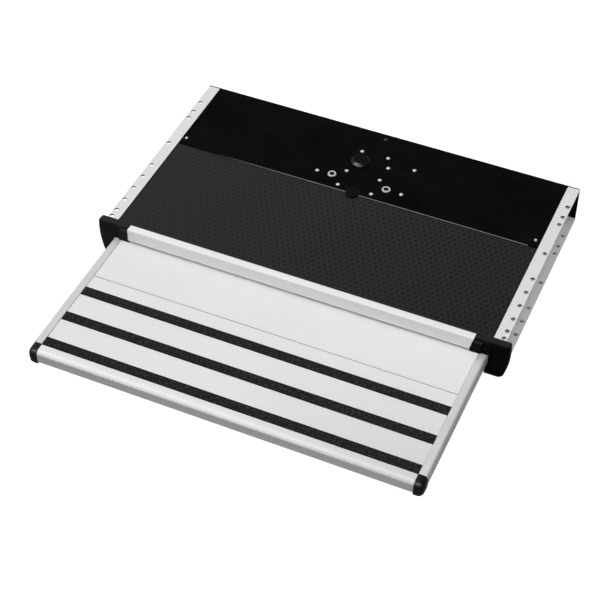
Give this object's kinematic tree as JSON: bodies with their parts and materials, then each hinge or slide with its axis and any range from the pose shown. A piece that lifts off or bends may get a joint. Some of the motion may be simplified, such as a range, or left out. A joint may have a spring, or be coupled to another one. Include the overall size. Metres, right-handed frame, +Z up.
{
  "type": "caravan pull out step",
  "caption": "Electric pull-out entrance step: an aluminium tread with grip strips slides from a low cassette of two side rails, driven by geared swing arms.",
  "frame": {"origin": "centre of the outer rectangle of mounting holes, in the plane of the rails' top faces", "axes": "+X across the step to the right, seen from in front; +Y into the vehicle; +Z up"},
  "size_m": [0.63, 0.6027, 0.068],
  "materials": {
    "rail_alloy": "natural anodised, satin",
    "tread_alloy": "natural anodised, satin",
    "crossbar_alloy": "natural anodised, satin",
    "textured_sheet": "charcoal coating over a fine dimple pattern",
    "black_sheet": "smooth black coating",
    "cap_plastic": "moulded, fine grain",
    "nose_plastic": "moulded, glossy",
    "plug_plastic": "moulded, smooth",
    "grip": "mineral grit on tape",
    "rivet_steel": "blackened",
    "bright_steel": "zinc plated",
    "drive_steel": "phosphated, oiled",
    "motor_steel": "zinc plated",
    "cast_alloy": "die cast",
    "bush_bronze": "sintered bronze",
    "glide_plastic": "natural acetal",
    "rubber": "moulded"
  },
  "bodies": {
    "cassette": {"left_rail": "rail_alloy", "right_rail": "rail_alloy", "front_crossbar": "crossbar_alloy", "front_cover_sheet": "textured_sheet", "rear_doubler_plate": "black_sheet", "rear_wall": "black_sheet", "left_front_cap": "cap_plastic", "right_front_cap": "cap_plastic", "cover_disc": "plug_plastic", "shaft_dome": "plug_plastic", "motor_end_cover": "plug_plastic", "rear_rivet": "rivet_steel", "pivot_rivets": "bright_steel", "motor_rivets": "bright_steel", "pivot_bolts": "bright_steel", "pivot_washers": "bright_steel", "pivot_nuts": "bright_steel", "corner_screws": "bright_steel", "rear_wall_screws": "bright_steel", "crossbar_screws": "bright_steel", "gearbox_screws": "bright_steel", "motor_spacers": "bright_steel", "left_pivot_flange": "drive_steel", "right_pivot_flange": "drive_steel", "gearbox_bracket": "drive_steel", "motor_can": "motor_steel", "gearbox_housing": "cast_alloy", "gearbox_lid": "cast_alloy", "shaft_bush": "bush_bronze", "glide_strips": "glide_plastic", "rear_buffers": "rubber", "cable_grommet": "rubber"},
    "tread": {"front_plank": "tread_alloy", "rear_plank": "tread_alloy", "left_side_profile": "tread_alloy", "right_side_profile": "tread_alloy", "front_grip_strip": "grip", "middle_grip_strip": "grip", "rear_grip_strip": "grip", "left_nose_cap": "nose_plastic", "right_nose_cap": "nose_plastic", "left_track": "tread_alloy", "right_track": "tread_alloy", "track_screws": "bright_steel", "tread_screws": "bright_steel", "runner_blocks": "glide_plastic"},
    "left_arm": {"left_arm": "drive_steel", "left_arm_bush": "bush_bronze", "left_arm_pin": "bright_steel"},
    "right_arm": {"right_arm": "drive_steel", "right_arm_bush": "bush_bronze", "right_arm_pin": "bright_steel"},
    "left_shoe": {"left_shoe": "glide_plastic"},
    "right_shoe": {"right_shoe": "glide_plastic"},
    "pinion": {"drive_pinion": "drive_steel", "pinion_shaft": "drive_steel"}
  },
  "joints": [
    {"name": "tread_slide", "type": "slide", "parent": "cassette", "child": "tread", "axis": [0, 1, 0], "range_m": [0, 0.228]},
    {"name": "left_arm_swing", "type": "hinge", "parent": "cassette", "child": "left_arm", "pos_m": [-0.04375, 0.0633, -0.008], "axis": [0, 0, 1], "range_deg": [-88, 0]},
    {"name": "right_arm_swing", "type": "hinge", "parent": "cassette", "child": "right_arm", "pos_m": [0.04375, 0.0633, -0.008], "axis": [0, 0, 1], "range_deg": [0, 88]},
    {"name": "pinion_spin", "type": "hinge", "parent": "cassette", "child": "pinion", "pos_m": [-0.01601, 0.10787, -0.008], "axis": [0, 0, 1], "range_deg": [0, 440]},
    {"name": "left_shoe_slide", "type": "slide", "parent": "tread", "child": "left_shoe", "axis": [-1, 0, 0], "range_m": [0, 0.207]},
    {"name": "right_shoe_slide", "type": "slide", "parent": "tread", "child": "right_shoe", "axis": [1, 0, 0], "range_m": [0, 0.207]}
  ],
  "couplings": [
    {"joint": "left_arm_swing", "follows": "tread_slide", "rad_per_m": -6.7125},
    {"joint": "right_arm_swing", "follows": "tread_slide", "rad_per_m": 6.7125},
    {"joint": "pinion_spin", "follows": "tread_slide", "rad_per_m": 33.563},
    {"joint": "left_shoe_slide", "follows": "tread_slide", "ratio": 0.90534},
    {"joint": "right_shoe_slide", "follows": "tread_slide", "ratio": 0.90534}
  ]
}
